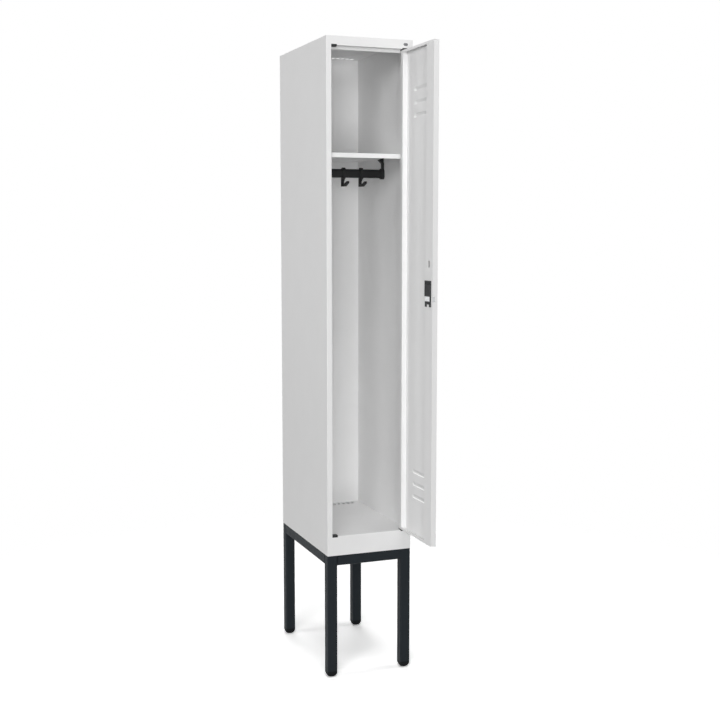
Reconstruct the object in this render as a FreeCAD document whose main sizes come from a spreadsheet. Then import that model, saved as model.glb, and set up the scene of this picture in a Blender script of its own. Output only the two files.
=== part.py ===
import FreeCAD, Part
import math
import os
import re
import Sketcher

# A tall steel clothes locker on a square-tube stand, drawn with its door a quarter turn open.
# The origin is on the ground under the middle of the whole part, open door included, with +X to the
# right seen from the front, +Y to the back and +Z up. All lengths are in millimetres.
SIZES = {
    # Cabinet of folded sheet steel
    "cabinet_width": 300,
    "cabinet_depth": 500,
    "cabinet_height": 1700,
    "sheet_wall": 0.8,
    "fold_radius": 1.6,
    "post_width": 17,
    "post_depth": 20,
    "rear_flange": 15,
    "base_flange": 28,
    "header_height": 30,
    "header_depth": 22,
    "stop_lip": 10,
    "plinth_height": 66,
    "ledge_depth": 22,
    "floor_drop": 8,
    "vent_width": 11,
    "vent_length": 22,
    "vent_pitch": 18,
    "vent_count": 14,
    "vent_from_back": 22,
    "overrun": 2,
    "slip": 0.3,
    # Hat shelf and its support tabs
    "shelf_height": 1333,
    "shelf_setback": 22,
    "shelf_lip": 15,
    "tab_width": 14,
    "tab_reach": 8,
    "tab_rise": 12,
    "tab_wall": 1.5,
    "tab_inset": 60,
    # Coat rail, its brackets and hooks
    "rail_height": 30,
    "rail_thickness": 15,
    "rail_wall": 1.2,
    "rail_level": 1278,
    "rail_setback": 250,
    "bracket_stem": 7,
    "bracket_depth": 14,
    "bracket_wall": 3.5,
    "socket_length": 12,
    "socket_floor": 3,
    "nib_reach": 13,
    "nib_height": 12,
    "hook_width": 9.5,
    "hook_band": 5,
    "hook_stock": 7,
    "hook_gusset": 13,
    "hook_drop": 30,
    "peg_width": 8,
    "peg_wall": 8,
    "peg_length": 60,
    "peg_heel": 33,
    "peg_throat": 24,
    "peg_tip_low": 11,
    "peg_tip_high": 17.5,
    "peg_tip_lean": 2,
    "peg_tip_round": 2.5,
    "peg_bend": 10,
    "hook_spacing": 65,
    # Corner bushes and hinge pins
    "bush_width": 19.5,
    "bush_depth": 18,
    "bush_proud": 3.5,
    "bush_sunk": 3.5,
    "bush_edge": 1.5,
    "pin_diameter": 6,
    "pin_length": 24,
    "pin_reach": 5,
    "pin_collar": 8,
    "pin_collar_height": 2,
    "pin_tip": 0.8,
    "pin_clearance": 0.05,
    # Header plug
    "plug_width": 15,
    "plug_height": 9,
    "plug_proud": 1.2,
    "plug_stem": 6,
    "plug_stem_length": 6,
    "plug_from_side": 25,
    # Door
    "door_open_angle": 90,
    "door_side_gap": 2,
    "door_end_gap": 0.5,
    "door_thickness": 18,
    "door_corner": 2,
    "pivot_inset": 6,
    "hinge_stile_width": 18,
    "lock_stile_width": 55,
    "stile_foot": 10,
    "door_lip": 8,
    "notch_height": 14,
    "notch_depth": 11,
    "spare_slot_width": 9.5,
    "spare_slot_length": 22,
    "spare_slot_level": 976,
    "spare_slot_inset": 28,
    # Louvres pressed out of the door panel
    "louvre_width": 120,
    "louvre_height": 15,
    "louvre_rise": 5,
    "louvre_mouth": 5,
    "louvre_pitch": 42,
    "louvre_count": 3,
    "louvre_from_end": 122,
    # Lock
    "lock_level": 866,
    "lock_inset": 32,
    "housing_width": 40,
    "housing_above": 56,
    "housing_below": 16,
    "plate_margin": 5,
    "plate_wall": 2.5,
    "plate_corner": 4,
    "cup_width": 34,
    "cup_height": 38,
    "cup_above": 14,
    "cup_depth": 15,
    "cup_draft": 3,
    "cover_width": 44,
    "cover_above": 58,
    "cover_below": 25,
    "cover_wall": 2,
    "cover_box_wall": 3.5,
    "cover_strap": 8,
    "fork_width": 20,
    "fork_height": 8,
    "bolt_height": 16,
    "bolt_thickness": 7.2,
    "bolt_length": 53,
    "bolt_travel": 10,
    "bolt_skin": 1,
    "bolt_pin_diameter": 4,
    "bolt_pin_play": 0.5,
    "strike_play": 0.9,
    "bezel_diameter": 27,
    "bezel_proud": 1.4,
    "sleeve_diameter": 21,
    "key_diameter": 15,
    "key_proud": 0.6,
    "key_slot_width": 2,
    "key_slot_length": 9,
    "key_slot_depth": 5,
    "cam_diameter": 21,
    "cam_wall": 2.4,
    "screw_head": 7,
    "screw_head_height": 1.8,
    "screw_shank": 3,
    "screw_length": 9,
    "screw_spread": 26,
    "screw_below_top": 8,
    # Square-tube stand
    "stand_height": 420,
    "tube_size": 35,
    "tube_wall": 2,
    "tube_corner": 5,
    "foot_height": 20,
    "foot_flat": 5,
    "foot_plug_height": 24,
    "stand_bolt_diameter": 6,
    "stand_bolt_length": 16,
    "stand_bolt_head": 10,
    "stand_bolt_head_height": 4,
    "stand_bolt_inset": 110,
    "stand_nut_diameter": 10,
    "stand_nut_height": 9,
}

doc = FreeCAD.newDocument("clothes_locker")
sheet = doc.addObject("Spreadsheet::Sheet", "sizes")
for row, (alias, size) in enumerate(SIZES.items(), start=1):
    sheet.set(f"A{row}", alias)
    sheet.set(f"B{row}", str(size))
    sheet.setAlias(f"B{row}", alias)
doc.recompute()

# Places worked out from the sizes, as formulas of the sheet's names.
HALF_WIDTH = "(cabinet_width / 2)"
WALL_FACE = f"({HALF_WIDTH} - sheet_wall)"
POST_FACE = f"({HALF_WIDTH} - post_width)"
ROOF_UNDER = "(cabinet_height - sheet_wall)"
HEADER_UNDER = "(cabinet_height - header_height)"
FLOOR_TOP = "(plinth_height - floor_drop)"
BACK_FACE = "(cabinet_depth - 2 * sheet_wall)"
RAIL_UNDER = "(rail_level - rail_height / 2)"
SHELF_UNDER = "(shelf_height - sheet_wall)"
SHELF_LIP_END = "(shelf_height - shelf_lip)"
RAIL_END = f"({WALL_FACE} - socket_floor - slip)"
DOOR_WIDTH = "(cabinet_width - 2 * post_width - 2 * door_side_gap)"
DOOR_BOTTOM = "(plinth_height + bush_proud + door_end_gap)"
DOOR_TOP = f"({HEADER_UNDER} - bush_proud - door_end_gap)"
PIVOT_X = f"({POST_FACE} - door_side_gap - pivot_inset)"
CABINET_FRONT = f"(({DOOR_WIDTH} - cabinet_depth) / 2 - pivot_inset)"
# The door is drawn shut, with the hinge axis through its own origin.
HINGE_EDGE = "pivot_inset"
FREE_EDGE = f"(pivot_inset - {DOOR_WIDTH})"
OUTER_FACE = "(-pivot_inset)"
INNER_FACE = "(door_thickness - pivot_inset)"
LOCK_X = f"({FREE_EDGE} + lock_inset)"
BOLT_INNER = f"({INNER_FACE} - sheet_wall - slip)"
BOLT_OUTER = f"({BOLT_INNER} - bolt_thickness)"
BOLT_LOW = "(lock_level - bolt_height / 2)"
BOLT_HIGH = "(lock_level + bolt_height / 2)"
CRANK = "(bolt_travel / sqrt(2))"
CAM_FACE = f"({BOLT_OUTER} - slip)"
CAM_BACK = f"({CAM_FACE} - cam_wall)"
PLATE_FACE = f"({OUTER_FACE} - plate_wall)"
# The stand's corners and bolts, seen from above.
STAND_ORIGIN = ("0", CABINET_FRONT, "0")
STAND_RAIL_LOW = "stand_height - tube_size"
STAND_BOLT_PLACES = ("stand_bolt_inset", "cabinet_depth - stand_bolt_inset")
STAND_CORNERS = {
    "front_left": (f"-{HALF_WIDTH}", "0"),
    "front_right": (f"{HALF_WIDTH} - tube_size", "0"),
    "rear_left": (f"-{HALF_WIDTH}", "cabinet_depth - tube_size"),
    "rear_right": (f"{HALF_WIDTH} - tube_size", "cabinet_depth - tube_size"),
}
# Edges count as lying on a face when they are this near to it.
NEAR = 1e-4


def bound(formula):
    """Point each size name in a formula at its cell."""
    return re.sub(r"\b[a-z]\w*\b(?!\()", lambda name: "sizes." + name.group(), formula)


def value(formula):
    """Work a formula out now, for a sketch that has to start near its final place."""
    return sheet.evalExpression(bound(formula))


def new_body(label):
    body = doc.addObject("PartDesign::Body", label)
    body.Label = label
    return body


def origin_feature(body, role):
    return next(item for item in body.Origin.OriginFeatures if item.Role == role)


def place(body, x, y, z):
    for axis, formula in zip("xyz", (x, y, z)):
        body.setExpression(f"Placement.Base.{axis}", bound(formula))


def in_cabinet(body):
    """The cabinet's pieces are drawn from the middle of its front bottom edge."""
    place(body, "0", CABINET_FRONT, "stand_height")


def in_door(body):
    """The door's pieces are drawn shut and turned open about the hinge axis."""
    upright = FreeCAD.Vector(0, 0, 1)
    body.Placement = FreeCAD.Placement(FreeCAD.Vector(), FreeCAD.Rotation(upright, 0))
    place(body, PIVOT_X, f"{CABINET_FRONT} + pivot_inset", "stand_height")
    body.setExpression("Placement.Rotation.Angle", bound("door_open_angle"))


def draw(body, plane, at="0"):
    """Start a sketch square to an axis, at a place along that axis."""
    sketch = body.newObject("Sketcher::SketchObject", "outline")
    sketch.AttachmentSupport = [(origin_feature(body, plane), "")]
    sketch.MapMode = "FlatFace"
    sign = "-" if plane == "XZ_Plane" else ""
    sketch.setExpression("AttachmentOffset.Base.z", bound(f"{sign}({at})"))
    return sketch


def fix(sketch, kind, where, start, formula):
    """Add a dimension that follows a formula."""
    number = sketch.addConstraint(Sketcher.Constraint(kind, *where, start))
    sketch.setExpression(f"Constraints[{number}]", bound(formula))


def fix_point(sketch, geometry, point, start, u, v):
    fix(sketch, "DistanceX", (-1, 1, geometry, point), start.x, u)
    fix(sketch, "DistanceY", (-1, 1, geometry, point), start.y, v)


def polygon(sketch, *corners):
    """Draw a closed outline of straight edges."""
    first = sketch.GeometryCount
    count = len(corners)
    turn = 2 * math.pi / count
    rough = [FreeCAD.Vector(math.cos(turn * k), math.sin(turn * k), 0) for k in range(count)]
    edges = [Part.LineSegment(rough[k], rough[(k + 1) % count]) for k in range(count)]
    sketch.addGeometry(edges, False)
    joined = [(first + k, 2, first + (k + 1) % count, 1) for k in range(count)]
    sketch.addConstraint([Sketcher.Constraint("Coincident", *pair) for pair in joined])
    for k, (u, v) in enumerate(corners):
        fix_point(sketch, first + k, 1, rough[k], u, v)


def rectangle(sketch, left, low, right, high):
    polygon(sketch, (left, low), (right, low), (right, high), (left, high))


def circle(sketch, u, v, radius):
    centre = FreeCAD.Vector()
    number = sketch.addGeometry(Part.Circle(centre, FreeCAD.Vector(0, 0, 1), 1), False)
    fix_point(sketch, number, 3, centre, u, v)
    fix(sketch, "Radius", (number,), 1, radius)


def slot(sketch, u, v, length, width, upright=False):
    """Draw a slot with round ends about a centre."""
    quarter = math.pi / 2
    lean = quarter if upright else 0
    along = FreeCAD.Vector(math.cos(lean), math.sin(lean), 0)
    across = FreeCAD.Vector(-math.sin(lean), math.cos(lean), 0)
    ends = (-2 * along, 2 * along)
    first = sketch.GeometryCount
    round_end = [Part.Circle(end, FreeCAD.Vector(0, 0, 1), 1) for end in ends]
    sketch.addGeometry([
        Part.ArcOfCircle(round_end[0], lean + quarter, lean + 3 * quarter),
        Part.ArcOfCircle(round_end[1], lean - quarter, lean + quarter),
        Part.LineSegment(ends[0] + across, ends[1] + across),
        Part.LineSegment(ends[1] - across, ends[0] - across),
    ], False)
    tail, head, upper, lower = range(first, first + 4)
    sketch.addConstraint([
        Sketcher.Constraint("Tangent", tail, 1, upper, 1),
        Sketcher.Constraint("Tangent", upper, 2, head, 2),
        Sketcher.Constraint("Tangent", head, 1, lower, 1),
        Sketcher.Constraint("Tangent", lower, 2, tail, 2),
        Sketcher.Constraint("Equal", tail, head),
    ])
    fix(sketch, "Radius", (tail,), 1, f"({width}) / 2")
    half = f"(({length}) - ({width})) / 2"
    for number, end, sign in ((tail, ends[0], "-"), (head, ends[1], "+")):
        shift_u = "" if upright else f" {sign} {half}"
        shift_v = f" {sign} {half}" if upright else ""
        fix_point(sketch, number, 3, end, f"{u}{shift_u}", f"{v}{shift_v}")


def half_slot(sketch, u, v, half_gap, radius):
    """Draw the upper half of a slot, from its round ends' centres and their radius."""
    first = sketch.GeometryCount
    centres = (FreeCAD.Vector(-2, 0, 0), FreeCAD.Vector(2, 0, 0))
    ends = [Part.Circle(centre, FreeCAD.Vector(0, 0, 1), 1) for centre in centres]
    arcs = [Part.ArcOfCircle(ends[0], math.pi / 2, math.pi), Part.ArcOfCircle(ends[1], 0, math.pi / 2)]
    sketch.addGeometry([
        Part.LineSegment(arcs[0].EndPoint, arcs[1].StartPoint),
        arcs[1],
        Part.LineSegment(arcs[1].EndPoint, arcs[0].StartPoint),
        arcs[0],
    ], False)
    base, right, top, left = range(first, first + 4)
    sketch.addConstraint([
        Sketcher.Constraint("Coincident", base, 2, right, 1),
        Sketcher.Constraint("Coincident", right, 2, top, 1),
        Sketcher.Constraint("Coincident", top, 2, left, 1),
        Sketcher.Constraint("Coincident", left, 2, base, 1),
        Sketcher.Constraint("Horizontal", right, 1, right, 3),
        Sketcher.Constraint("Vertical", right, 2, right, 3),
        Sketcher.Constraint("Vertical", left, 1, left, 3),
        Sketcher.Constraint("Horizontal", left, 2, left, 3),
    ])
    for number, centre, sign in ((left, centres[0], "-"), (right, centres[1], "+")):
        fix_point(sketch, number, 3, centre, f"{u} {sign} ({half_gap})", v)
        fix(sketch, "Radius", (number,), 1, radius)


def faces_back(sketch):
    """A sketch square to Y looks towards the front, so its features are turned round."""
    return sketch.AttachmentSupport[0][0].Role == "XZ_Plane"


def pad(sketch, length):
    """Fill a sketch from its plane along the positive axis."""
    body = sketch.getParentGeoFeatureGroup()
    feature = body.newObject("PartDesign::Pad", "pad")
    feature.Profile = sketch
    feature.setExpression("Length", bound(length))
    feature.Reversed = faces_back(sketch)
    return feature


def cut(sketch, depth):
    """Cut a sketch from its plane along the positive axis, and check that it removes material."""
    body = sketch.getParentGeoFeatureGroup()
    doc.recompute()
    before = body.Shape.Volume
    feature = body.newObject("PartDesign::Pocket", "cut")
    feature.Profile = sketch
    feature.setExpression("Length", bound(depth))
    feature.Reversed = not faces_back(sketch)
    doc.recompute()
    if not body.Shape.Volume < before:
        raise RuntimeError(f"a cut in {body.Label} removes nothing")
    return feature


def loft(body, kind, low, high):
    feature = body.newObject(f"PartDesign::{kind}Loft", "loft")
    feature.Profile = low
    feature.Sections = [high]
    return feature


def turn(sketch, axis):
    """Spin a sketch about one of the body's own axes."""
    body = sketch.getParentGeoFeatureGroup()
    feature = body.newObject("PartDesign::Revolution", "turned")
    feature.Profile = sketch
    feature.ReferenceAxis = (origin_feature(body, axis), [""])
    feature.Angle = 360
    return feature


def repeat(body, features, axis, pitch, count):
    """Repeat features in a row along one of the body's own axes."""
    doc.recompute()
    pattern = body.newObject("PartDesign::LinearPattern", "row")
    pattern.Originals = features
    pattern.Direction = (origin_feature(body, axis), [""])
    pattern.setExpression("Length", bound(f"{pitch} * ({count} - 1)"))
    pattern.setExpression("Occurrences", bound(count))
    body.Tip = pattern
    doc.recompute()
    return pattern


def rim_edges(shape, *sides):
    """Name the edges that lie on every given side of the shape's own box."""
    names = []
    for number, edge in enumerate(shape.Edges, start=1):
        box = edge.BoundBox
        on_side = []
        for side in sides:
            level = getattr(shape.BoundBox, side)
            ends = (getattr(box, side[0] + "Min"), getattr(box, side[0] + "Max"))
            on_side.append(all(abs(end - level) < NEAR for end in ends))
        if all(on_side):
            names.append(f"Edge{number}")
    return names


def corner_edges(shape, y, z):
    """Name the edges that run along X through a corner."""
    names = []
    for number, edge in enumerate(shape.Edges, start=1):
        box = edge.BoundBox
        away = (box.YMin - y, box.YMax - y, box.ZMin - z, box.ZMax - z)
        if all(abs(step) < NEAR for step in away):
            names.append(f"Edge{number}")
    return names


def add_rounding(body, radius, names):
    if not names:
        raise RuntimeError(f"no edge to round on {body.Label}")
    base = body.Tip
    feature = body.newObject("PartDesign::Fillet", "rounding")
    feature.Base = (base, names)
    feature.setExpression("Radius", bound(radius))
    doc.recompute()


def round_edges(body, radius, *rims):
    """Round the edges on each given pair of sides of the body's box."""
    doc.recompute()
    add_rounding(body, radius, [name for rim in rims for name in rim_edges(body.Tip.Shape, *rim)])


def round_corners(body, radius, *corners):
    """Round the edges along X through the given corners."""
    doc.recompute()
    places = [(value(y), value(z)) for y, z in corners]
    add_rounding(body, radius, [name for y, z in places for name in corner_edges(body.Tip.Shape, y, z)])


def group(label, pieces):
    """Keep like pieces together in one node."""
    compound = doc.addObject("Part::Compound", label)
    compound.Label = label
    compound.Links = pieces
    return compound


def side_panel(label, side):
    """One sheet: wall, post face, rear flange and base flange for the stand's bolts."""
    body = new_body(label)
    in_cabinet(body)

    def across(from_outside):
        return f"{side} * ({HALF_WIDTH} - ({from_outside}))"

    plan = draw(body, "XY_Plane")
    polygon(
        plan,
        (across("0"), "0"),
        (across("post_width"), "0"),
        (across("post_width"), "sheet_wall"),
        (across("sheet_wall"), "sheet_wall"),
        (across("sheet_wall"), "cabinet_depth - sheet_wall"),
        (across("rear_flange"), "cabinet_depth - sheet_wall"),
        (across("rear_flange"), "cabinet_depth"),
        (across("0"), "cabinet_depth"),
    )
    pad(plan, ROOF_UNDER)
    outer = "XMax" if side > 0 else "XMin"
    round_edges(body, "fold_radius", (outer, "YMin"), (outer, "YMax"))
    base = draw(body, "XY_Plane")
    inner, wall = across("base_flange"), across("sheet_wall")
    rectangle(base, inner, "post_depth", wall, BACK_FACE)
    pad(base, "sheet_wall")
    holes = draw(body, "XY_Plane", "-overrun")
    for y in STAND_BOLT_PLACES:
        circle(holes, across("tube_size / 2"), y, "stand_bolt_diameter / 2")
    cut(holes, "sheet_wall + 2 * overrun")
    return body


def post_angle(label, side):
    """Folded angle welded behind the post face, which makes the front post a closed box."""
    body = new_body(label)
    in_cabinet(body)

    def across(from_outside):
        return f"{side} * ({HALF_WIDTH} - ({from_outside}))"

    plan = draw(body, "XY_Plane")
    polygon(
        plan,
        (across("post_width"), "sheet_wall"),
        (across("post_width"), "post_depth"),
        (across("sheet_wall"), "post_depth"),
        (across("sheet_wall"), "post_depth - sheet_wall"),
        (across("post_width - sheet_wall"), "post_depth - sheet_wall"),
        (across("post_width - sheet_wall"), "sheet_wall"),
    )
    pad(plan, ROOF_UNDER)
    inner = "XMin" if side > 0 else "XMax"
    round_edges(body, "fold_radius", (inner, "YMax"))
    return body


def strike_slot(body):
    """The opening in the left post that takes the bolt when the shut door is locked."""
    strike = draw(body, "YZ_Plane", f"-{POST_FACE} - sheet_wall - overrun")
    near = f"{BOLT_OUTER} + pivot_inset - strike_play"
    far = f"{BOLT_INNER} + pivot_inset + strike_play"
    rectangle(strike, near, f"{BOLT_LOW} - strike_play", far, f"{BOLT_HIGH} + strike_play")
    cut(strike, "sheet_wall + 2 * overrun")


def back_panel():
    body = new_body("back_panel")
    in_cabinet(body)
    face = draw(body, "XZ_Plane", BACK_FACE)
    rectangle(face, f"-{WALL_FACE}", "0", WALL_FACE, ROOF_UNDER)
    pad(face, "sheet_wall")
    return body


def vent_row(body, low):
    """A row of oblong slots across the sheet, near the back panel."""
    vents = draw(body, "XY_Plane", f"{low} - overrun")
    first = "-vent_pitch * (vent_count - 1) / 2"
    slot(vents, first, f"{BACK_FACE} - vent_from_back", "vent_length", "vent_width", upright=True)
    opening = cut(vents, "sheet_wall + 2 * overrun")
    repeat(body, [opening], "X_Axis", "vent_pitch", "vent_count")


def bush_notches(body, low, high):
    """The corners cut out of the front fold for the bushes."""
    notch = draw(body, "XY_Plane", low)
    for sign in ("-", "+"):
        inner = f"{sign}({POST_FACE} - bush_width)"
        outer = f"{sign}({POST_FACE} + overrun)"
        rectangle(notch, inner, "-overrun", outer, "bush_depth")
    cut(notch, f"{high} - {low}")


def roof_panel():
    """Roof sheet with the header folded down between the posts, ending in the door's stop lip."""
    body = new_body("roof_panel")
    in_cabinet(body)
    top = draw(body, "XY_Plane", ROOF_UNDER)
    rectangle(top, f"-{HALF_WIDTH}", "0", HALF_WIDTH, "cabinet_depth")
    pad(top, "sheet_wall")
    fold = draw(body, "YZ_Plane", f"-{POST_FACE}")
    polygon(
        fold,
        ("0", ROOF_UNDER),
        ("0", HEADER_UNDER),
        ("header_depth - sheet_wall", HEADER_UNDER),
        ("header_depth - sheet_wall", f"{HEADER_UNDER} - stop_lip"),
        ("header_depth", f"{HEADER_UNDER} - stop_lip"),
        ("header_depth", f"{HEADER_UNDER} + sheet_wall"),
        ("sheet_wall", f"{HEADER_UNDER} + sheet_wall"),
        ("sheet_wall", ROOF_UNDER),
    )
    pad(fold, f"2 * {POST_FACE}")
    round_corners(body, "fold_radius", ("0", HEADER_UNDER))
    bush_notches(body, HEADER_UNDER, f"({HEADER_UNDER} + bush_sunk)")
    hole = draw(body, "XZ_Plane", "-overrun")
    circle(hole, f"{HALF_WIDTH} - plug_from_side", "cabinet_height - header_height / 2", "plug_stem / 2")
    cut(hole, "sheet_wall + 2 * overrun")
    vent_row(body, ROOF_UNDER)
    return body


def floor_panel():
    """Plinth, ledge and floor in one sheet; the floor widens behind the posts."""
    body = new_body("floor_panel")
    in_cabinet(body)
    under = f"({FLOOR_TOP} - sheet_wall)"
    fold = draw(body, "YZ_Plane", f"-{POST_FACE}")
    polygon(
        fold,
        ("0", "0"),
        ("sheet_wall", "0"),
        ("sheet_wall", "plinth_height - sheet_wall"),
        ("ledge_depth - sheet_wall", "plinth_height - sheet_wall"),
        ("ledge_depth - sheet_wall", under),
        (BACK_FACE, under),
        (BACK_FACE, FLOOR_TOP),
        ("ledge_depth", FLOOR_TOP),
        ("ledge_depth", "plinth_height"),
        ("0", "plinth_height"),
    )
    pad(fold, f"2 * {POST_FACE}")
    sides = draw(body, "XY_Plane", under)
    for sign in ("-", "+"):
        rectangle(sides, f"{sign}{POST_FACE}", "post_depth", f"{sign}{WALL_FACE}", BACK_FACE)
    pad(sides, "sheet_wall")
    round_corners(body, "fold_radius", ("0", "plinth_height"))
    bush_notches(body, "(plinth_height - bush_sunk)", "plinth_height")
    vent_row(body, under)
    return body


def hat_shelf():
    """Shelf sheet with all four edges folded down."""
    body = new_body("hat_shelf")
    in_cabinet(body)
    half = f"({WALL_FACE} - slip)"
    back = f"({BACK_FACE} - slip)"
    outline = draw(body, "XY_Plane", SHELF_LIP_END)
    rectangle(outline, f"-{half}", "shelf_setback", half, back)
    pad(outline, "shelf_lip")
    hollow = draw(body, "XY_Plane", f"{SHELF_LIP_END} - overrun")
    inner = f"{half} - sheet_wall"
    rectangle(hollow, f"-({inner})", "shelf_setback + sheet_wall", inner, f"{back} - sheet_wall")
    cut(hollow, "shelf_lip - sheet_wall + overrun")
    round_edges(body, "sheet_wall", ("YMin", "ZMax"))
    return body


def shelf_supports():
    """Four folded tabs on the side walls, under the shelf's side folds."""
    tabs = []
    for side in (-1, 1):
        for y in ("tab_inset", "cabinet_depth - tab_inset - tab_width"):
            tab = new_body("shelf_tab")
            in_cabinet(tab)
            wall, reach = f"{side} * {WALL_FACE}", f"{side} * ({WALL_FACE} - tab_reach)"
            inner = f"{side} * ({WALL_FACE} - tab_wall)"
            profile = draw(tab, "XZ_Plane", y)
            polygon(
                profile,
                (wall, SHELF_LIP_END),
                (reach, SHELF_LIP_END),
                (reach, f"{SHELF_LIP_END} - tab_wall"),
                (inner, f"{SHELF_LIP_END} - tab_wall"),
                (inner, f"{SHELF_LIP_END} - tab_rise"),
                (wall, f"{SHELF_LIP_END} - tab_rise"),
            )
            pad(profile, "tab_width")
            tabs.append(tab)
    return group("shelf_supports", tabs)


def rail_section(sketch, allowance):
    slot(sketch, "rail_setback", "rail_level", f"rail_height + 2 * ({allowance})",
         f"rail_thickness + 2 * ({allowance})", upright=True)


def coat_rail():
    """Oval tube across the compartment at mid depth."""
    body = new_body("coat_rail")
    in_cabinet(body)
    section = draw(body, "YZ_Plane", f"-{RAIL_END}")
    rail_section(section, "0")
    rail_section(section, "-rail_wall")
    pad(section, f"2 * {RAIL_END}")
    return body


def rail_bracket(label, side):
    """Moulded hanger: a cup for the rail's end, a strap, and a nib inside the shelf's side fold."""
    body = new_body(label)
    in_cabinet(body)

    def inward(distance):
        return f"{side} * ({WALL_FACE} - ({distance}))"

    cup = draw(body, "YZ_Plane", inward("socket_length") if side > 0 else inward("0"))
    rail_section(cup, "bracket_wall")
    pad(cup, "socket_length")
    fold_clear = "2 * slip + sheet_wall"
    top = f"({SHELF_UNDER} - slip)"
    shoulder = f"({SHELF_LIP_END} - slip)"
    nib = "bracket_stem + nib_reach"
    strap = draw(body, "XZ_Plane", "rail_setback - bracket_depth / 2")
    polygon(
        strap,
        (inward("0"), "rail_level"),
        (inward("0"), shoulder),
        (inward(fold_clear), shoulder),
        (inward(fold_clear), top),
        (inward("bracket_stem"), top),
        (inward(nib), f"{top} - nib_height / 2"),
        (inward("bracket_stem"), f"{top} - nib_height - nib_reach / 2"),
        (inward("bracket_stem"), "rail_level"),
    )
    pad(strap, "bracket_depth")
    socket = draw(body, "YZ_Plane", inward("socket_length + overrun") if side > 0 else inward("socket_floor"))
    rail_section(socket, "slip")
    cut(socket, "socket_length - socket_floor + overrun")
    return body


def coat_hook(label, place_x):
    """Moulded hook that slides along the rail: a band round it, a back plate, and a peg to the front."""
    body = new_body(label)
    in_cabinet(body)
    start = f"({place_x}) - hook_width / 2"
    back = "(rail_setback + rail_thickness / 2 + hook_band)"
    bottom = f"({RAIL_UNDER} - hook_drop)"
    band = draw(body, "YZ_Plane", start)
    rail_section(band, "hook_band")
    pad(band, "hook_width")
    plate = draw(body, "YZ_Plane", start)
    polygon(
        plate,
        (back, "rail_level"),
        (back, bottom),
        (f"{back} - hook_stock", bottom),
        (f"{back} - hook_stock", f"{RAIL_UNDER} - hook_gusset"),
        (f"{back} - hook_stock - hook_gusset", RAIL_UNDER),
        (f"{back} - hook_stock - hook_gusset", "rail_level"),
    )
    pad(plate, "hook_width")
    heel = (f"{back} - peg_heel", bottom)
    tip = (f"{back} - peg_length", f"{bottom} + peg_tip_low")
    tip_top = (f"{back} - peg_length + peg_tip_lean", f"{bottom} + peg_tip_high")
    throat = (f"{back} - peg_throat", f"{bottom} + peg_wall")
    inside = f"{back} - hook_stock / 2"
    peg = draw(body, "YZ_Plane", f"({place_x}) - peg_width / 2")
    polygon(peg, (inside, bottom), heel, tip, tip_top, throat, (inside, f"{bottom} + peg_wall"))
    pad(peg, "peg_width")
    bore = draw(body, "YZ_Plane", f"{start} - overrun")
    rail_section(bore, "slip")
    cut(bore, "hook_width + 2 * overrun")
    round_corners(body, "min(peg_tip_round; (peg_tip_high - peg_tip_low) / 2)", tip, tip_top)
    round_corners(body, "peg_bend", heel, throat)
    return body


def corner_bush(label, side, at_top):
    """Black moulded bush let into a corner of the opening, with a blind bore for a hinge pin."""
    body = new_body(label)
    in_cabinet(body)
    low = f"({HEADER_UNDER} - bush_proud)" if at_top else "(plinth_height - bush_sunk)"
    height = "bush_proud + bush_sunk"
    outline = draw(body, "XY_Plane", low)
    rectangle(outline, f"{side} * ({POST_FACE} - bush_width)", "0", f"{side} * {POST_FACE}", "bush_depth")
    pad(outline, height)
    inner = "XMin" if side > 0 else "XMax"
    round_edges(body, "bush_edge", (inner, "YMin"), (inner, "YMax"))
    depth = "pin_reach - door_end_gap + pin_clearance"
    start = f"{low} - overrun" if at_top else f"{low} + {height} - ({depth})"
    bore = draw(body, "XY_Plane", start)
    circle(bore, f"{side} * {PIVOT_X}", "pivot_inset", "pin_diameter / 2 + pin_clearance")
    cut(bore, f"{depth} + overrun")
    return body


def header_plug():
    """Plain oval plug pressed into the header."""
    body = new_body("header_plug")
    place(body, f"{HALF_WIDTH} - plug_from_side", CABINET_FRONT,
          "stand_height + cabinet_height - header_height / 2")
    cap = draw(body, "XZ_Plane", "-plug_proud")
    slot(cap, "0", "0", "plug_width", "plug_height")
    pad(cap, "plug_proud")
    round_edges(body, "plug_proud / 2", ("YMin",))
    stem = draw(body, "XZ_Plane")
    circle(stem, "0", "0", "plug_stem / 2")
    pad(stem, "plug_stem_length")
    return body


def door_panel():
    """Door pan: face and edges in one sheet, lips at top and bottom, louvres pressed out."""
    body = new_body("door_panel")
    in_door(body)
    skin = f"({OUTER_FACE} + sheet_wall)"
    height = f"({DOOR_TOP} - {DOOR_BOTTOM})"
    plan = draw(body, "XY_Plane", DOOR_BOTTOM)
    rectangle(plan, FREE_EDGE, OUTER_FACE, HINGE_EDGE, INNER_FACE)
    pad(plan, height)
    round_edges(body, "door_corner", ("XMin", "YMin"), ("XMax", "YMin"), ("ZMin", "YMin"), ("ZMax", "YMin"))
    hollow = draw(body, "XZ_Plane", skin)
    rectangle(
        hollow,
        f"{FREE_EDGE} + sheet_wall",
        f"{DOOR_BOTTOM} + sheet_wall",
        f"{HINGE_EDGE} - sheet_wall",
        f"{DOOR_TOP} - sheet_wall",
    )
    cut(hollow, "door_thickness")
    door_lips(body)
    edge_openings(body)
    lock_opening(body, skin, "sheet_wall")
    holes = draw(body, "XY_Plane", f"{DOOR_BOTTOM} - overrun")
    circle(holes, "0", "0", "pin_diameter / 2")
    cut(holes, f"{height} + 2 * overrun")
    louvres(body, f"{DOOR_BOTTOM} + louvre_from_end")
    louvres(body, f"{DOOR_TOP} - louvre_from_end - louvre_height - louvre_pitch * (louvre_count - 1)")
    return body


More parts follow.
